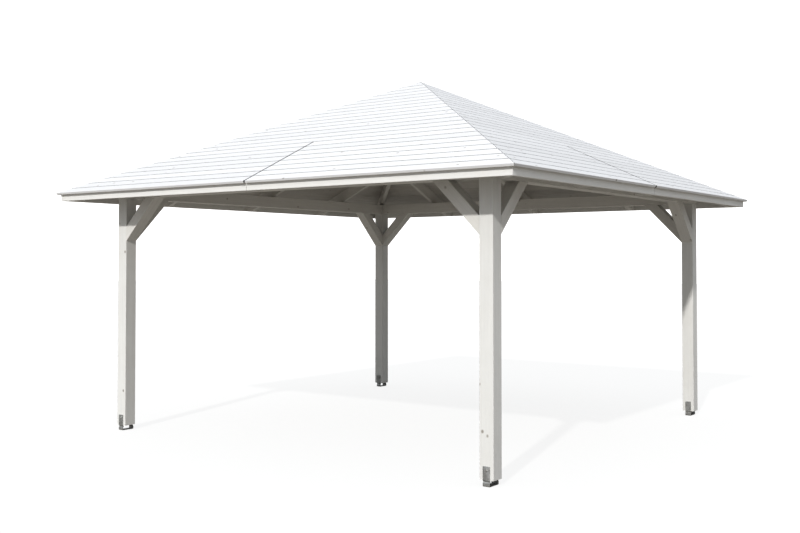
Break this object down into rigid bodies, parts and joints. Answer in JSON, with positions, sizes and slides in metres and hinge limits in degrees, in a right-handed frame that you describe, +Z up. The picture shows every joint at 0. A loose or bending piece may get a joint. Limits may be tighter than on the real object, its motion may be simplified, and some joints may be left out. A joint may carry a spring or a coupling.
{
  "type": "garden gazebo",
  "caption": "Open square garden gazebo: white painted timber posts on steel shoes, knee-braced beams, and a boarded pyramid roof with a plain fascia.",
  "frame": {"origin": "on the ground at the middle of the square plan", "axes": "+Z up; the front faces -Y and the right side faces +X"},
  "size_m": [5.126, 5.126, 3.5123],
  "materials": {
    "post_paint": "white paint on planed softwood, satin",
    "beam_paint": "white paint on planed softwood, satin",
    "brace_paint": "white paint on planed softwood, satin",
    "rafter_paint": "white paint on planed softwood, satin",
    "fascia_paint": "white paint on planed boards, satin",
    "roof_paint": "white paint on tongued and grooved boards, satin",
    "shoe_steel": "hot-dip galvanised, dull"
  },
  "bodies": {
    "root": {"post_front_left": "post_paint", "post_front_right": "post_paint", "post_back_right": "post_paint", "post_back_left": "post_paint", "shoe_front_left": "shoe_steel", "shoe_front_right": "shoe_steel", "shoe_back_right": "shoe_steel", "shoe_back_left": "shoe_steel", "beam_front": "beam_paint", "beam_right": "beam_paint", "beam_back": "beam_paint", "beam_left": "beam_paint", "brace_front_left": "brace_paint", "brace_front_right": "brace_paint", "brace_right_front": "brace_paint", "brace_right_back": "brace_paint", "brace_back_right": "brace_paint", "brace_back_left": "brace_paint", "brace_left_back": "brace_paint", "brace_left_front": "brace_paint", "hip_rafter_front_left": "rafter_paint", "hip_rafter_front_right": "rafter_paint", "hip_rafter_back_right": "rafter_paint", "hip_rafter_back_left": "rafter_paint", "common_rafter_front": "rafter_paint", "common_rafter_right": "rafter_paint", "common_rafter_back": "rafter_paint", "common_rafter_left": "rafter_paint", "jack_rafter_front_left": "rafter_paint", "jack_rafter_front_right": "rafter_paint", "jack_rafter_right_front": "rafter_paint", "jack_rafter_right_back": "rafter_paint", "jack_rafter_back_right": "rafter_paint", "jack_rafter_back_left": "rafter_paint", "jack_rafter_left_back": "rafter_paint", "jack_rafter_left_front": "rafter_paint", "fascia_front": "fascia_paint", "fascia_right": "fascia_paint", "fascia_back": "fascia_paint", "fascia_left": "fascia_paint", "roof_front": "roof_paint", "roof_right": "roof_paint", "roof_back": "roof_paint", "roof_left": "roof_paint"}
  },
  "joints": []
}
